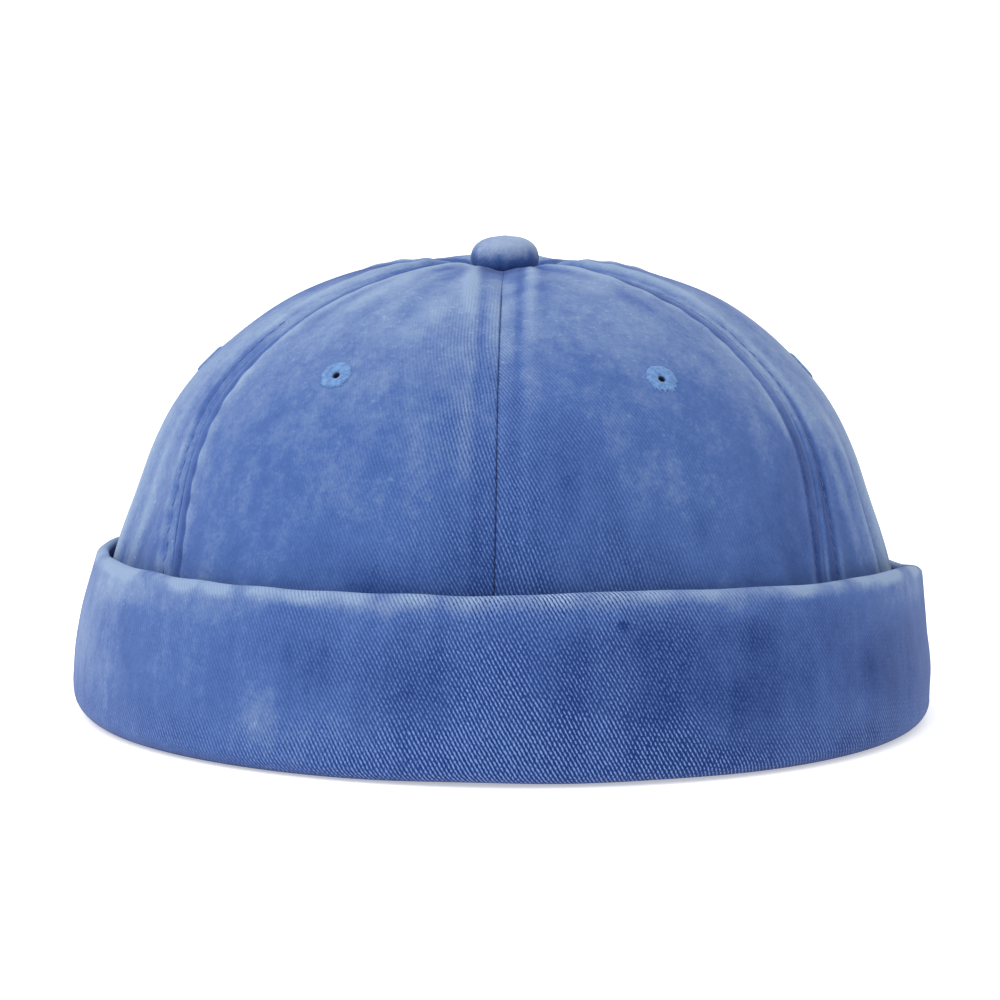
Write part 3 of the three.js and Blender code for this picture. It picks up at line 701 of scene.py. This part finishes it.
def thread_material(name, dark, light):
    """Cotton thread: two close blues mottled along the thread, painted nearly black as shade inside the hole,
    where its hole value is 1, with a fine bump."""
    material, tree, shader = new_material(name, Sheen_Weight=0.15, Specular_IOR_Level=0.3)
    grain = noise(placed(tree, "ShaderNodeTexCoord", {}, "Object"), 900.0, 3.0, 0.6)
    thread = mix_colour(span(grain, 0.35, 0.65), dark, light)
    # inside the eyelet's hole the thread is painted nearly black as shade
    feed(shader.inputs["Base Color"], mix_colour(named_value(tree, "hole"), thread, srgb(10, 16, 34)))
    feed(shader.inputs["Roughness"], span(grain, 0.3, 0.7, 0.55, 0.75))
    emboss(shader, grain, 0.06, 0.6)
    return material


# The dye, deep to worn, and the materials
DEEP, MIDDLE, WORN = srgb(6, 44, 107), srgb(63, 92, 150), srgb(126, 147, 178)
crown_twill = twill_material("Washed crown twill", WORN, depth=0.11, contrast=1.25, spacing=0.78,
                             streaks=0.38, lean=5.5, crest=srgb(108, 136, 191))
cuff_twill = twill_material("Washed cuff twill", WORN, depth=0.14, contrast=1.55, spacing=0.805,
                            streaks=0.42, lean=0.0, crest=srgb(113, 140, 199))
button_twill = twill_material("Washed button twill", srgb(134, 151, 180), depth=0.06, contrast=0.08,
                              spacing=0.7, streaks=0.1, lean=0.0, crest=srgb(124, 151, 206))
eyelet_thread = thread_material("Eyelet thread", srgb(72, 109, 162), srgb(99, 137, 186))
seam_thread = thread_material("Seam thread", srgb(50, 76, 138), srgb(78, 104, 164))


# The crown's panels

def panel_points(index, rows=230, half_columns=60):
    """A panel's cloth between seams index and index + 1: climbs by even length, columns crowded towards
    the seams by the power 1.6, the outer face, and the inner face one cloth inside it along the normal."""
    climb = climb_at(np.linspace(0, LENGTHS[-1], rows))[:, None]
    share = np.linspace(0, 1, half_columns + 1) ** 1.6 / 2
    share = np.concatenate([share, 1 - share[-2::-1]])[None, :]
    seams = seam_azimuths(climb)
    trim = np.degrees(SEAM_CUT / radius_at(45.0, climb))
    low, high = seams[index] + trim, seams[index + 1] - trim
    azimuth = low + (high - low) * share
    # the inner face reaches nearly to the seam, so that no light comes through
    snug = azimuth - SNUG_SHARE * trim * (1 - 2 * share)
    climb = climb + 0 * azimuth
    outer = crown_cloth(azimuth, climb)
    inner = crown_face(snug, climb) - normal_of(crown_face, snug, climb) * PANEL_CLOTH
    inner[0, :, 2] = outer[0, :, 2]
    middle = (seams[index] + seams[index + 1]) / 2
    u = np.radians(azimuth - middle) * FOOT_HALF_DEPTH * (radius_at(azimuth, climb) / FOOT_HALF_DEPTH) ** 0.70
    return outer, inner, np.stack([u, length_at(climb)], -1), azimuth, climb


def weave_field(azimuth, climb):
    """How clear the ribs are on the crown: clearest beside the front seam and low on the front panels,
    rubbed away towards the sides and the top."""
    low = 0.46 * near(azimuth, 5, 22) * smooth(climb, 0.60, 0.12)
    beside = 0.24 * near(azimuth, -3, 10) * hump((climb - 0.42) / 0.22)
    behind = 0.20 * near(azimuth, 180, 40) * smooth(climb, 0.6, 0.2)
    return 0.04 + low + beside + behind


def pierce(faces, hole, columns):
    """Take the marked cells out of a panel's outer and inner faces, and wall the hole's edge between them."""
    wide = 2 * columns
    i, j = np.nonzero(hole)
    keep = np.ones(len(faces), bool)
    keep[i * wide + j] = keep[i * wide + wide - 2 - j] = False
    inner = lambda point: point // wide * wide + wide - 1 - point % wide
    walls = []
    for up, over, p, q in ((-1, 0, 0, 1), (0, 1, 1, 2), (1, 0, 2, 3), (0, -1, 3, 0)):
        edge = ~hole[i + up, j + over]
        cell = faces[i[edge] * wide + j[edge]]
        walls.append(np.stack([cell[:, p], cell[:, q], inner(cell[:, q]), inner(cell[:, p])], -1))
    return np.concatenate([faces[keep]] + walls)


def make_panel(index, name):
    """A panel as a closed shell: its outer and inner faces as one loop at each climb, walled at both ends,
    with the cells under the eyelet cut out, those whose middles lie in an ellipse round its middle."""
    outer, inner, uv, azimuth, climb = panel_points(index)
    rows, columns = climb.shape
    faces = grid_faces(rows, 2 * columns, closed_columns=True)
    j = np.arange(columns - 1)
    end = np.stack([j, j + 1, 2 * columns - 2 - j, 2 * columns - 1 - j], -1)
    middles = (outer[1:, 1:] + outer[1:, :-1] + outer[:-1, 1:] + outer[:-1, :-1]) / 4
    centre, normal = EYELET_SEATS[index]
    right = unit(np.cross(UP, normal))
    x, y = (middles - centre) @ right, (middles - centre) @ np.cross(normal, right)
    hole = np.hypot(x / CUT_OUT_HALF_WIDTH, y / CUT_OUT_HALF_HEIGHT) < 1
    faces = np.concatenate([pierce(faces, hole, columns), end[:, ::-1], end + (rows - 1) * 2 * columns])
    number, distance, _ = seam_place(azimuth, climb)
    loop = lambda front, back: np.concatenate([front, back[:, ::-1]], 1)
    plain = -0.15 + 0.15 * ripple(azimuth / 9, climb * 9, 41)
    wear = loop(crown_wear_and_shade(azimuth, climb, number, distance), plain)
    weave = weave_field(azimuth, climb)
    build_piece(f"crown_{name}", loop(outer, inner), faces, loop(uv, uv), crown_twill,
                {"wear": wear, "weave": loop(weave, weave)}, nodes=[f"panel_{name}"])


for index, (name, _, _) in enumerate(PANELS):
    make_panel(index, name)


# The seams' stitches

def stitch_rows():
    """Centres of the stitches in mm, with directions along and out: two rows beside each seam but the front
    one, placed on the cloth at the seam's own stitch distance."""
    rows = []
    for number in range(1, 6):
        for side in (-1, 1):
            # on the two side seams they are drawn into the cloth higher up
            end = length_at(SIDE_ROWS_END) if number in (1, 5) else LENGTHS[-1] - 9
            run = np.arange(1.5, end, STITCH_PITCH)
            climb = climb_at(run)
            seam = seam_azimuths(climb)[number]
            azimuth = seam + side * np.degrees(stitch_row(number, side, run) / radius_at(seam, climb))
            before, after = (crown_cloth(azimuth, climb + step) for step in (-CLIMB_STEP, CLIMB_STEP))
            out = normal_of(crown_face, azimuth, climb)
            rows.append([crown_cloth(azimuth, climb), unit(after - before), out])
    return np.concatenate(rows, 1)


def make_stitches(steps=7, sides=6):
    """Each stitch is a low arch of thread half sunk in the cloth: a ring of six points carried along a half
    sine, drawn in to points at both ends where the thread goes down into the cloth."""
    spots, alongs, outs = stitch_rows()
    across = unit(np.cross(outs, alongs))
    outs = unit(np.cross(alongs, across))
    count, size = len(spots), steps * sides
    spots, alongs, outs, across = (vectors[:, None, None] for vectors in (spots, alongs, outs, across))
    place = np.linspace(-1, 1, steps)[:, None, None]
    ring = np.linspace(0, 2 * np.pi, sides, endpoint=False)[:, None]
    reach = STITCH_LENGTH / 2 * np.sin(place * np.pi / 2)
    lift = 0.02 + 0.04 * np.cos(place * np.pi / 2) - 0.16 * np.abs(place) ** 3
    thick = THREAD_RADIUS * np.sqrt(np.maximum(1 - place ** 2, 0.02))
    points = spots + alongs * reach + outs * lift + (across * np.cos(ring) + outs * np.sin(ring)) * thick
    cap = np.array([[0, 1, 2, 3], [3, 4, 5, 0]])
    one = np.concatenate([grid_faces(steps, sides, closed_columns=True), cap[:, ::-1], cap + size - sides])
    faces = (one[None] + (np.arange(count) * size)[:, None, None]).reshape(-1, 4)
    uv = np.zeros((count * size, 2))
    build_piece("seam_stitches", points, faces, uv, seam_thread)


make_stitches()


# The cuff

def climb_of_height(height):
    """The climb at which the smooth crown reaches a height, read from a fine table of its lower part."""
    fine = np.linspace(0, 0.7, 2001)
    return np.interp(height, crown_form(0.0, fine)[:, 2], fine)


# The parts of its section, in their order from the foot's inner side
FOOT, EDGE, WALL, RIM, INSIDE, LIP = range(6)


def cuff_points(columns=720):
    """The cuff's cloth: at each azimuth a closed loop of out (distance outside the smooth crown) and height,
    foot, rounded lower edge, outer wall, rolled rim, inner wall and turned-in lip, with soft waves in its
    wall that grow towards the rim."""
    azimuth = (180 + np.arange(columns) / columns * 360)[:, None]
    turn = np.radians(azimuth)
    cosine, sine = np.cos(turn), np.sin(turn)
    ripples = 0.28 * ripple(cosine * 8, sine * 8, 43) + 0.12 * ripple(cosine * 22, sine * 22, 47)
    # the rim dips a little behind the right side
    top = CUFF_HEIGHT * around(WAVES[:, 0], azimuth) + 0.8 * ripples - near(azimuth, 106, 11)
    rim_gap = CUFF_RIM_GAP * around(WAVES[:, 1], azimuth)
    edge = CUFF_EDGE_RADIUS * around(WAVES[:, 2], azimuth)
    # the left side's lower edge is rounded more widely
    turn_in = CUFF_EDGE_RADIUS * (1 + 0.40 * near(azimuth, -88, 22))
    gap = lambda z: CUFF_FOOT_GAP + (rim_gap - CUFF_FOOT_GAP) * (np.maximum(z, 0) / top) ** 1.6
    foot, fold = CUFF_FOOT_GAP + CUFF_CLOTH, CUFF_CLOTH / 2
    shares = lambda count: np.linspace(0, 1, count)
    part = lambda kind, out, z: np.stack(np.broadcast_arrays(out + 0 * top, z, kind))

    s = shares(4)
    under = part(FOOT, -PANEL_CLOTH + (foot - turn_in + PANEL_CLOTH) * s[:-1], 0.0)
    lip = part(LIP, CUFF_FOOT_GAP + (-PANEL_CLOTH - CUFF_FOOT_GAP) * s[1:], CUFF_CLOTH)
    angle = np.pi / 2 * shares(10)[:-1]
    rounded = part(EDGE, foot - turn_in * (1 - np.sin(angle)), edge * (1 - np.cos(angle)))
    s = shares(52)
    z = edge + (top - fold - edge) * s
    drawn_in = (foot - gap(edge) - CUFF_CLOTH) * (1 - smooth(s, 0, 0.25))
    wall = part(WALL, gap(z) + CUFF_CLOTH + drawn_in, z)
    angle = np.pi * shares(14)[1:-1]
    rolled = part(RIM, gap(top - fold) + fold + fold * np.cos(angle), top - fold + fold * np.sin(angle))
    z = CUFF_CLOTH + (top - fold - CUFF_CLOTH) * shares(24)[::-1]
    out, z, kind = np.concatenate([under, rounded, wall, rolled, part(INSIDE, gap(z), z), lip], -1)

    share = z / top
    outside, upright = (kind == WALL) | (kind == RIM), (kind >= WALL) & (kind <= INSIDE)
    wave = 0.35 * ripple(cosine * 7, sine * 7 + share * 0.8, 53) * smooth(share, 0.05, 0.5)
    wave = wave + 0.13 * ripple(cosine * 22, sine * 22 + share * 2.2, 59)
    # the walls stand a little closer at the sides
    closer = 0.80 * near(azimuth, 90, 34) * smooth(share, 0.25, 0.60)
    closer = closer + 0.55 * near(azimuth, -90, 30) * smooth(share, 0.60, 0.95)
    out = out + (wave * smooth(z, 1.0, 6.0) - closer) * upright
    # the foot's front hardly touches what it stands on
    lift = 0.28 + 0.40 * near(azimuth, -3, 10) + 0.25 * near(azimuth, 22, 11)
    lift = lift * smooth(np.abs(turn_between(0, azimuth)), 120, 80)
    z = z + lift * (1 - smooth(z, 0, 10)) * (kind <= WALL)
    # the join of the cuff's two ends, up the middle of the back: distance in mm at a mean radius
    join = np.radians(turn_between(180, azimuth)) * JOIN_RADIUS
    seam = -0.55 * hump(join / 0.45) + 0.22 * hump((np.abs(join) - 2.2) / 1.5)
    out = out + seam * smooth(z, 0.5, 3.0) * outside
    climb = climb_of_height(np.maximum(z, EDGE_HEIGHT))
    half_width, half_depth = crown_form(90.0, climb)[..., 0] + out, -crown_form(0.0, climb)[..., 1] + out
    points = np.stack([half_width * np.sin(turn), -half_depth * np.cos(turn), z], -1)
    return points, np.mod(azimuth, 360) + 0 * share, share, kind, join


def cuff_map(points, girth_row=30):
    """The cuff's surface map in mm, by the girth at a row of its outer wall and the way along its section.
    It is a value of each face's corners, so that it can run on past the last column and the last row."""
    columns, size = points.shape[:2]
    length = lambda vectors: np.linalg.norm(vectors, axis=-1)
    around_wall = length(np.diff(points[:, girth_row], axis=0, append=points[:1, girth_row]))
    girth = np.concatenate([[0], np.cumsum(around_wall)])
    steps = np.cumsum(length(np.diff(points, axis=1)), 1)
    last = steps[:, -1:] + length(points[:, 0] - points[:, -1]).mean()
    run = np.concatenate([np.zeros((columns, 1)), steps, last], 1)
    corner = np.array([(0, 0), (0, 1), (1, 1), (1, 0)])
    i, j = np.divmod(np.arange(columns * size), size)
    column, row = i[:, None] + corner[:, 0], j[:, None] + corner[:, 1]
    return np.stack([girth[column], run[column % columns, row]], -1)


def make_cuff():
    """The cuff as one closed ring of its loop, worn at its rim and its join, with painted shade along its
    foot.
    """
    points, azimuth, share, kind, join = cuff_points()
    z = points[..., 2]
    broken = 0.75 + 0.3 * ripple(azimuth / 1.9, share * 2, 61) + 0.2 * ripple(azimuth / 0.7, share * 3, 67)
    rim = 1.22 * broken * smooth(share, 0.905, 0.99)
    # painted shade: darker along the foot and the rounded lower edge, where the cloth turns under
    foot = -0.50 * (1 - smooth(z, 0.6, 3.8)) - 0.70 * (1 - smooth(z, 0.6, 1.4))
    ends = -0.8 * hump(join / 0.5) + 0.25 * hump((np.abs(join) - 1.6) / 0.8)
    wear = patch_field(CUFF_PATCHES, azimuth, share) + rim + foot + ends
    # one fleck of undyed slub on the front
    fleck = near(azimuth, 16.6, 0.50) * hump((share - 0.834) / 0.016)
    wear = np.where(kind >= INSIDE, -0.55 + 0.5 * smooth(share, 0.8, 1.0), wear) - 3.5 * fleck
    front = (0.98 - 0.66 * share + 0.24 * smooth(share, 0.80, 0.95)) * near(azimuth, 6, 24)
    weave = 0.07 + front + 0.25 * (1 - smooth(share, 0.1, 0.4)) + 0.25 * near(azimuth, 180, 40)
    faces = grid_faces(*share.shape, closed_rows=True, closed_columns=True)
    build_piece("cuff_twill_band", points, faces[:, ::-1], cuff_map(points)[:, ::-1], cuff_twill,
                {"wear": wear, "weave": weave * (1 - fleck)}, nodes=["cuff"])


make_cuff()


# The top button

# The dome's outline from its lower edge up to its top: shares of its radius and height
DOME = np.array([
    (0.76, 0.00), (0.89, 0.09), (0.965, 0.19), (1.00, 0.31), (1.00, 0.44), (0.945, 0.61), (0.86, 0.73),
    (0.74, 0.825), (0.58, 0.905), (0.36, 0.965), (0.0, 1.0)])


def make_button(sides=120):
    """A covered button: its section turned round, cloth drawn under it in pleats that die out at its widest,
    a slightly uneven dome, and the post and disc below as in the solid."""
    tip = crown_form(0.0, 1.0)[2]
    seat, under = tip + SEWN_GAP, tip - PANEL_CLOTH - SEWN_GAP
    disc, post, bevel, bottom = DISC_DIAMETER / 2, POST_DIAMETER / 2, 0.2, under - DISC_THICKNESS
    stem = np.array([(0, bottom), (disc - bevel, bottom), (disc, bottom + bevel), (disc, under - bevel),
                     (disc - bevel, under), (post, under), (post, seat)])
    s = np.linspace(0, 1, 64)
    dome = np.stack([along(DOME[:, 0], s) * (BUTTON_DIAMETER / 2 + 0.15),
                     seat + along(DOME[:, 1], s) * (BUTTON_HEIGHT + 0.35)], -1)
    dome[-1, 0] = 0
    section = np.concatenate([stem, dome])
    turn = np.linspace(0, 2 * np.pi, sides, endpoint=False)[None, :]
    cosine, sine = np.cos(turn), np.sin(turn)
    r, z = section[:, :1], section[:, 1:]
    high = np.clip((z - seat) / BUTTON_HEIGHT, 0, 1)
    on_cap = (np.arange(len(section)) >= len(stem))[:, None]
    pleats = 0.16 * np.sin(13 * turn + 1.5 * np.sin(2 * turn)) * (1 - smooth(high, 0.05, 0.45))
    lumps = 0.10 * ripple(cosine * r / 3, sine * r / 3 + high * 2, 73)
    swell = 0.16 * ripple(cosine * r / 3.5, sine * r / 3.5, 79) * high * smooth(r, -1, 3)
    r_out = r + on_cap * (pleats + lumps) * smooth(r, 0.5, 5.0)
    z_out = z + on_cap * swell
    z_out[-1] = z_out[-1].mean()
    points = np.stack([r_out * sine, -r_out * cosine, z_out], -1)
    x, y = points[..., 0], points[..., 1]
    uv = np.stack([x, y + (z_out - seat - BUTTON_HEIGHT) * np.sign(y) * smooth(r, 6, 7.5)], -1)
    patches = 0.25 * ripple(turn * 8, high * 2, 85) * rise_and_fall(high, 0.2, 0.5, 0.5, 0.9)
    patches = patches + 0.15 * ripple(cosine * r / 2.5, sine * r / 2.5, 83)
    # painted darker underneath, as painted shade, and paler towards the top, where the cloth is rubbed
    wear = -0.30 + 1.15 * smooth(high, 0.24, 0.78) + patches
    # the first and last rows are single points, closed by short quads
    piece = build_piece("covered_button", points, grid_faces(len(section), sides, closed_columns=True), uv,
                        button_twill, {"wear": wear, "weave": 0.6 + 0 * wear}, nodes=["top_button"])
    piece.modifiers.new("Poles", "WELD").merge_threshold = 1e-6


make_button()


# The eyelets

def make_eyelet(name, centre, normal, seed, count=38, fine=6, front_rows=16):
    """A flat ring of satin stitches: the loop of its section turned round, smooth on top with faint ribs
    from stitch to stitch that end in short uneven teeth, a barrel through the cloth and a ring behind it."""
    luck = np.random.default_rng(seed)
    phase = np.arange(count * fine) / fine
    turn = phase / count * 2 * np.pi
    rib = np.abs(np.sin(np.pi * phase)) ** 0.7
    low = 0.5 - 0.5 * np.sin(turn)
    reach = luck.uniform(-0.45, 0.25, count)[np.floor(phase).astype(int)] * (0.20 + 0.80 * low)
    hole, barrel, outer = EYELET_HOLE / 2, EYELET_HOLE / 2 + EYELET_BARREL, EYELET_DIAMETER / 2
    back, bore = -PANEL_CLOTH - 2 * SEWN_GAP, hole - 0.2
    s = np.linspace(0, 1, front_rows)[:, None]
    crest = np.minimum(np.sin(np.pi * np.clip(s * 0.94 + 0.03, 0, 1)), 0.80) / 0.80
    wall, t = np.linspace(0.1, back - 0.2, 5)[:, None], np.linspace(0, 1, 5)[1:, None]
    tail = np.array([(barrel + 1.0, back + 0.02), (barrel, back + 0.02), (barrel, 0.02), (outer - 0.5, -0.05),
                     (outer, -0.02)])
    r = np.concatenate([outer + (bore - outer) * s, bore + 0 * wall, bore + (barrel + 1.2 - hole) * t,
                        tail[:, :1]])
    z = np.concatenate([0.17 + 0.30 * crest - 0.10 * smooth(s, 0.82, 1.0), wall,
                        back - 0.2 - 0.12 * np.sin(np.pi * t), tail[:, 1:]])
    front = np.concatenate([np.ones(front_rows), np.zeros(len(r) - front_rows - 2), [0.6, 1.0]])[:, None]
    spread = np.clip((r - hole) / (outer - hole), 0, 1)
    r_out = r + (reach - (1 - rib) * (0.14 + 0.30 * low)) * front * spread ** 6
    z_out = z + (rib - 0.6) * (0.03 + 0.07 * spread ** 4) * front * smooth(z, 0.0, 0.3)
    right = unit(np.cross(UP, normal))
    x, y, away = (r_out * np.cos(turn))[..., None], (r_out * np.sin(turn))[..., None], z_out[..., None]
    points = centre + x * right + y * np.cross(normal, right) + away * normal
    # the inside of the hole, marked for painted shade on the thread
    depth = smooth(-z, -0.26, 0.05) * (r_out < hole + 0.3)
    faces = grid_faces(*r_out.shape, closed_rows=True, closed_columns=True)
    uv = np.stack([phase + 0 * r_out, r_out], -1)
    build_piece(f"satin_eyelet_{name}", points, faces, uv, eyelet_thread, {"hole": depth},
                nodes=[f"eyelet_{name}"])


for number, ((name, _, _), (centre, normal)) in enumerate(zip(PANELS, EYELET_SEATS)):
    make_eyelet(name, centre, normal, seed=90 + number)


# Floor, light and camera

def stage_floor():
    """A pale floor, flat over 160 m by 160 m, so that its far edge lies above the picture, and lit a little
    from within, so that the shade beside the cap stays as pale as in the photograph."""
    mesh = bpy.data.meshes.new("floor")
    mesh.from_pydata([(-80, -80, 0), (80, -80, 0), (80, 80, 0), (-80, 80, 0)], [], [(0, 1, 2, 3)])
    material, _, _ = new_material(
        "Pale floor", Base_Color=(0.82, 0.82, 0.82, 1), Roughness=0.9, Specular_IOR_Level=0.1,
        Emission_Color=(1, 1, 1, 1), Emission_Strength=0.44)
    mesh.materials.append(material)
    linked(bpy.data.objects.new("floor", mesh))


def direction(azimuth, elevation):
    """The unit vector towards an azimuth and elevation in degrees."""
    a, e = np.radians((azimuth, elevation))
    return np.array([np.sin(a) * np.cos(e), -np.cos(a) * np.cos(e), np.sin(e)])


def soft_light(name, azimuth, elevation, spread, strength):
    """A soft far light from an azimuth and elevation, as wide as its spread in degrees."""
    lamp = bpy.data.lights.new(name, "SUN")
    lamp.angle, lamp.energy = np.radians(spread), strength
    light = linked(bpy.data.objects.new(name, lamp))
    light.rotation_euler = Vector(direction(azimuth, elevation)).to_track_quat("Z", "Y").to_euler()


def photograph_camera(azimuth, elevation, distance, roll, aim, focal_pixels):
    """A camera on the line back from its aim by azimuth and elevation, rolled against the picture's turn,
    with the focal length in pixels of a picture 1000 wide taken to a 36 mm sensor."""
    back, r = direction(azimuth, elevation), np.radians(roll)
    right = unit(np.cross(UP, back))
    up = np.cross(back, right)
    axes = Matrix((right * np.cos(r) + up * np.sin(r), up * np.cos(r) - right * np.sin(r), back))
    lens = bpy.data.cameras.new("camera")
    lens.sensor_width, lens.lens = 36.0, focal_pixels * 36.0 / 1000
    lens.clip_start, lens.clip_end = 0.01, 50
    place = axes.transposed().to_4x4()
    place.translation = Vector(np.array(aim) + back * distance)
    camera = linked(bpy.data.objects.new("camera", lens))
    camera.matrix_world = place
    bpy.context.scene.camera = camera


stage_floor()
soft_light("key", azimuth=-66, elevation=50, spread=60, strength=1.65)
soft_light("top", azimuth=0, elevation=88, spread=90, strength=0.90)

world = bpy.data.worlds.new("studio")
world.use_nodes = True
background = world.node_tree.nodes["Background"].inputs
background["Color"].default_value = (1, 1, 1, 1)
background["Strength"].default_value = 0.74
bpy.context.scene.world = world
bpy.context.scene.view_settings.view_transform = "Standard"

photograph_camera(azimuth=1.133, elevation=7.614, distance=0.90815, roll=0.494,
                  aim=(-0.00074, 0, 0.0485), focal_pixels=3919.5)
